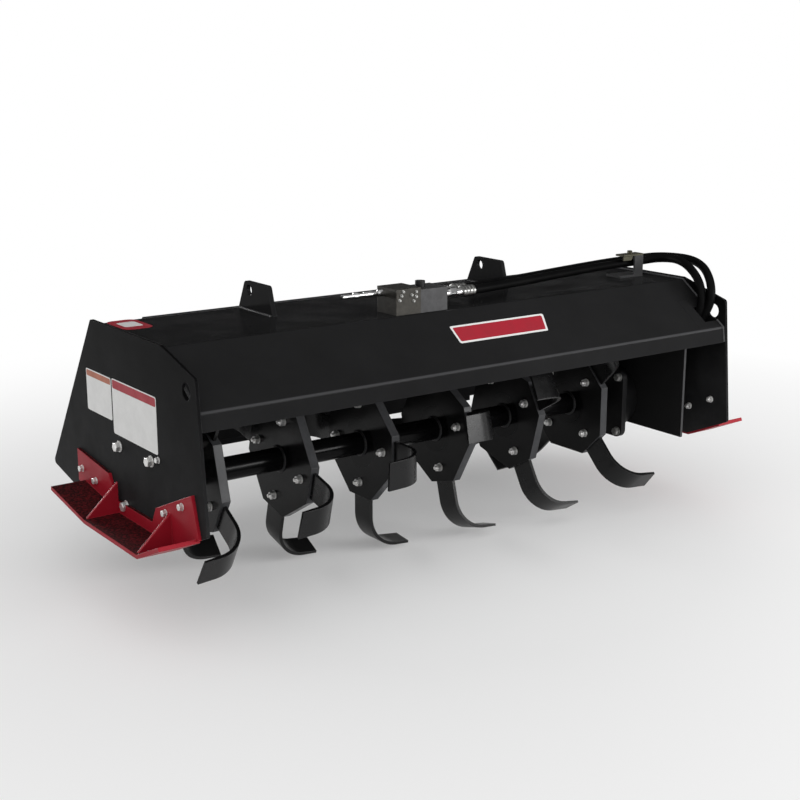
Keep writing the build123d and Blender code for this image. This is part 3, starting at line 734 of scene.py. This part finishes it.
for row, corners in hose_routes.items():
    route = [spot(*corner) for corner in corners]
    route += [spot(port_places[row], 0, 0) + port_line * reach for reach in (0.200, 0.096)]
    curve = bpy.data.curves.new(f"rubber_hose_{row}", "CURVE")
    curve.dimensions = "3D"
    curve.bevel_depth = 0.012
    curve.bevel_resolution = 7
    curve.use_fill_caps = True
    curve.resolution_u = 16
    run = curve.splines.new("NURBS")
    run.points.add(len(route) - 1)
    for point, place in zip(run.points, route):
        point.co = (*place, 1.0)
    run.order_u = 3
    run.use_endpoint_u = True
    curve.materials.append(rubber)
    hose = bpy.data.objects.new(f"rubber_hose_{row}", curve)
    bpy.context.scene.collection.objects.link(hose)
    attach(hose, "frame")
    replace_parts(hose, f"hose_{row}")
    shape = bmesh.new()
    turned(shape, route[0], (1, 0, 0), ferrule, 28)
    turned(shape, route[-1], port_line, ferrule, 28)
    piece(f"hose_ferrules_{row}", shape, dark_ferrule, "frame")

# Hose clamp
# A grey steel bar on the deck with one strap standing in front of the hoses, and an olive-passivated
# cap plate with a turned-down lip, bolted on the strap's top so that it holds the hoses down.


def clamp_paint():
    """Mid-grey enamel on the bar and the strap."""
    material, tree, shader, coordinates = new_material("grey_enamel")
    cloud = remap(tree, noise(tree, coordinates, 40.0, 5.0, 0.6), 0.3, 0.7, 0.0, 1.0)
    normal, edge = rounded_edges(tree, 0.0012)
    enamel = blend_colours(tree, cloud, (0.026, 0.026, 0.027), (0.036, 0.036, 0.037))
    tree.links.new(blend_colours(tree, edge, enamel, (0.09, 0.09, 0.09)), shader.inputs["Base Color"])
    tree.links.new(remap(tree, cloud, 0.0, 1.0, 0.36, 0.5), shader.inputs["Roughness"])
    shader.inputs["Specular IOR Level"].default_value = 0.25
    surface_bump(tree, shader, noise(tree, coordinates, 380.0, 2.0, 0.5), 0.1, 0.0006, normal)
    return material


enamel = clamp_paint()
low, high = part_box("hose_clamp_bracket")
bar_depth, strap_width = 0.058, 0.034
shape = bmesh.new()
base = [(low.x, low.y), (high.x, low.y), (high.x, low.y + bar_depth), (low.x, low.y + bar_depth)]
prism(shape, [Vector((x, y, low.z)) for x, y in base], Vector((0, 0, 0.006)))
strap_left, strap_foot = high.x - strap_width, low.z + 0.005
strap = [(strap_left, strap_foot), (high.x, strap_foot), (high.x, high.z), (strap_left, high.z)]
prism(shape, [Vector((x, low.y, z)) for x, z in strap], Vector((0, 0.006, 0)))
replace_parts(piece("clamp_strap", shape, enamel, "frame"), "hose_clamp_bracket")
olive = plated_metal("olive_passivate", (0.070, 0.066, 0.042), (0.044, 0.041, 0.026), 0.42, 0.6)
low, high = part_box("hose_clamp_cap")
cap_left, cap_depth, lip_drop = low.x + 0.012, 0.034, 0.012
shape = bmesh.new()
cap = [(cap_left, low.y), (high.x, low.y), (high.x, low.y + cap_depth), (cap_left, low.y + cap_depth)]
prism(shape, [Vector((x, y, low.z)) for x, y in cap], Vector((0, 0, 0.005)))
lip = [(cap_left, low.z + 0.001), (cap_left, low.z - lip_drop)]
lip += [(low.x + 0.044, low.z - lip_drop), (low.x + 0.050, low.z + 0.001)]
prism(shape, [Vector((x, low.y, z)) for x, z in lip], Vector((0, 0.004, 0)))
fastener(shape, Vector((0.742, low.y + cap_depth / 2, high.z)), (0, 0, 1), 0.013, 0.009)
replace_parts(piece("clamp_cap", shape, olive, "frame"), "hose_clamp_cap")

# Films
# Blank vinyl films: two panels on the left end plate, a slanted bar on the front slope, and a
# rounded panel on the deck. They are cut plain, with a coloured head or border and no print.


def rounded(corners, radius, steps=5):
    """A flat outline with its corners rounded."""
    outline = []
    for index, corner in enumerate(corners):
        corner = Vector(corner)
        before = (Vector(corners[index - 1]) - corner).normalized()
        after = (Vector(corners[(index + 1) % len(corners)]) - corner).normalized()
        half = before.angle(after) / 2
        centre = corner + (before + after).normalized() * radius / sin(half)
        start = corner + before * radius / tan(half)
        end = corner + after * radius / tan(half)
        for step in range(steps + 1):
            outline.append(centre + (start.lerp(end, step / steps) - centre).normalized() * radius)
    return outline


def vinyl(name, colour, faded):
    """Satin vinyl film, a little faded and scuffed."""
    material, tree, shader, coordinates = new_material(name)
    scuff = remap(tree, noise(tree, coordinates, 26.0, 7.0, 0.7), 0.35, 0.7, 0.0, 1.0)
    tree.links.new(blend_colours(tree, scuff, colour, faded), shader.inputs["Base Color"])
    tree.links.new(remap(tree, scuff, 0.0, 1.0, 0.34, 0.5), shader.inputs["Roughness"])
    shader.inputs["Specular IOR Level"].default_value = 0.2
    surface_bump(tree, shader, noise(tree, coordinates, 90.0, 3.0, 0.5), 0.05, 0.0005)
    return material


def film(name, origin, across, along, corners, radius, lift, material):
    """A thin film cut to rounded corners, in millimetres on a flat of the frame."""
    across, along = Vector(across).normalized(), Vector(along).normalized()
    out = across.cross(along)
    outline = rounded(corners, radius)
    shape = bmesh.new()
    loops = []
    for rise in (0.0, lift / 1000):
        loops.append([shape.verts.new(origin + (across * u + along * v) / 1000 + out * rise) for u, v in outline])
    for index in range(len(outline)):
        after = (index + 1) % len(outline)
        shape.faces.new([loops[0][index], loops[0][after], loops[1][after], loops[1][index]])
    for loop in loops:
        shape.faces.new(loop)
    piece(name, shape, material, "frame")


def box_corners(u_low, u_high, v_low, v_high):
    """The corners of an upright rectangle."""
    return [(u_low, v_low), (u_high, v_low), (u_high, v_high), (u_low, v_high)]


white_vinyl = vinyl("white_vinyl", (0.74, 0.74, 0.73), (0.68, 0.68, 0.67))
red_vinyl = vinyl("red_vinyl", (0.36, 0.016, 0.030), (0.30, 0.020, 0.032))
orange_vinyl = vinyl("orange_vinyl", (0.42, 0.13, 0.07), (0.34, 0.12, 0.07))
plate_face = spot(-plate_outside, 0, 0)
forwards, upwards = (0, -1, 0), (0, 0, 1)
film("panel_film_rear", plate_face, forwards, upwards, box_corners(-257, -110, 138, 244), 6, 0.35, white_vinyl)
film("panel_head_rear", plate_face, forwards, upwards, box_corners(-254, -113, 226, 241), 4, 0.55, orange_vinyl)
film("panel_film_front", plate_face, forwards, upwards, box_corners(-104, 136, 109, 246), 6, 0.35, white_vinyl)
film("panel_head_front", plate_face, forwards, upwards, box_corners(-101, 133, 222, 243), 4, 0.55, red_vinyl)
slope_corner = spot(-plate_outside, -169, 366)
bar = [(778, 56), (1092, 56), (1070, 116), (778, 116)]
inset_bar = [(784, 62), (1083, 62), (1066, 110), (784, 110)]
film("slope_bar_edge", slope_corner, down_slope, (1, 0, 0), [(v, u) for u, v in bar], 5, 0.30, white_vinyl)
film("slope_bar", slope_corner, down_slope, (1, 0, 0), [(v, u) for u, v in inset_bar], 4, 0.50, red_vinyl)
deck_corner = spot(-plate_outside, 0, 366)
film("deck_film_edge", deck_corner, (1, 0, 0), (0, 1, 0), box_corners(24, 102, 62, 188), 22, 0.30, red_vinyl)
film("deck_film", deck_corner, (1, 0, 0), (0, 1, 0), box_corners(40, 88, 96, 156), 8, 0.50, white_vinyl)

# Studio
# Pale floor with a low round wall far off, soft light from the front and left with a weaker dome, a
# soft box low at the front right that draws the edges and one behind, and the camera.
floor_height = cad_box[0].z - 0.004
wall_radius = 40.0
wall_top = 3.8
stage_mesh = bpy.data.meshes.new("studio_floor")
shape = bmesh.new()
rings = [(0.0, 0.0), (2.0, 0.0), (5.0, 0.0), (15.0, 0.0), (wall_radius - 1.5, 0.02), (wall_radius - 0.4, 0.35)]
rings += [(wall_radius, 1.0), (wall_radius + 0.1, wall_top)]
centre = Vector((0.0, -0.4, floor_height))
turned(shape, centre, (0, 0, 1), rings, 96)
bmesh.ops.recalc_face_normals(shape, faces=shape.faces)
shape.to_mesh(stage_mesh)
shape.free()
stage_mesh.polygons.foreach_set("use_smooth", [True] * len(stage_mesh.polygons))
studio_floor = bpy.data.objects.new("studio_floor", stage_mesh)
bpy.context.scene.collection.objects.link(studio_floor)
floor_paint, tree, shader, coordinates = new_material("pale_floor")
shader.inputs["Base Color"].default_value = (0.86, 0.86, 0.86, 1.0)
shader.inputs["Roughness"].default_value = 0.9
shader.inputs["Specular IOR Level"].default_value = 0.0
light_path = tree.nodes.new("ShaderNodeLightPath")
seen = combine(tree, "ADD", light_path.outputs["Is Camera Ray"], light_path.outputs["Is Glossy Ray"])
seen = combine(tree, "ADD", seen, light_path.outputs["Is Transmission Ray"])
distance = tree.nodes.new("ShaderNodeVectorMath")
distance.operation = "DISTANCE"
tree.links.new(coordinates, distance.inputs[0])
distance.inputs[1].default_value = centre
far = remap(tree, distance.outputs["Value"], 0.9, 2.9, 0.20, 1.0)
white = tree.nodes.new("ShaderNodeEmission")
white.inputs["Strength"].default_value = 1.0
mixed = tree.nodes.new("ShaderNodeMixShader")
tree.links.new(combine(tree, "MULTIPLY", far, combine(tree, "MINIMUM", seen, 1.0)), mixed.inputs["Fac"])
tree.links.new(shader.outputs["BSDF"], mixed.inputs[1])
tree.links.new(white.outputs["Emission"], mixed.inputs[2])
tree.links.new(mixed.outputs["Shader"], tree.nodes["Material Output"].inputs["Surface"])
studio_floor.data.materials.append(floor_paint)

world = bpy.data.worlds.new("soft_dome")
bpy.context.scene.world = world
world.use_nodes = True
tree = world.node_tree
direction = tree.nodes.new("ShaderNodeTexCoord").outputs["Generated"]
towards = tree.nodes.new("ShaderNodeVectorMath")
towards.operation = "DOT_PRODUCT"
tree.links.new(direction, towards.inputs[0])
towards.inputs[1].default_value = (-0.70, -0.71, 0.0)
front_left = remap(tree, towards.outputs["Value"], -0.15, 0.8, 0.0, 1.25)
overhead = remap(tree, height_of(tree, direction), 0.50, 0.90, 0.02, 0.45)
tree.links.new(combine(tree, "ADD", front_left, overhead), tree.nodes["Background"].inputs["Strength"])
tree.nodes["Background"].inputs["Color"].default_value = (1.0, 1.0, 1.0, 1.0)


def soft_box(name, place, target, size, watts):
    """A rectangular soft box that points at a spot."""
    lamp = bpy.data.lights.new(name, "AREA")
    lamp.shape = "RECTANGLE"
    lamp.size, lamp.size_y = size
    lamp.energy = watts
    holder = bpy.data.objects.new(name, lamp)
    holder.location = place
    holder.rotation_euler = (Vector(target) - Vector(place)).to_track_quat("-Z", "Y").to_euler()
    bpy.context.scene.collection.objects.link(holder)


soft_box("front_box", (2.5, -4.1, 0.95), (0.0, -0.7, 0.0), (3.4, 0.9), 120.0)
soft_box("rear_box", (-0.8, 4.6, 0.5), (0.0, 0.0, 0.0), (2.2, 0.7), 90.0)

camera = bpy.data.cameras.new("camera")
camera.lens = 60.894
camera.sensor_width = 36.0
camera.sensor_fit = "HORIZONTAL"
yaw, pitch = radians(35.73), radians(14.11)
tripod = bpy.data.objects.new("camera", camera)
tripod.location = (-2.1285, -3.371, 0.882)
looking = Vector((sin(yaw) * cos(pitch), cos(yaw) * cos(pitch), -sin(pitch)))
tripod.rotation_euler = looking.to_track_quat("-Z", "Y").to_euler()
bpy.context.scene.collection.objects.link(tripod)
bpy.context.scene.camera = tripod
bpy.context.scene.view_settings.view_transform = "Standard"
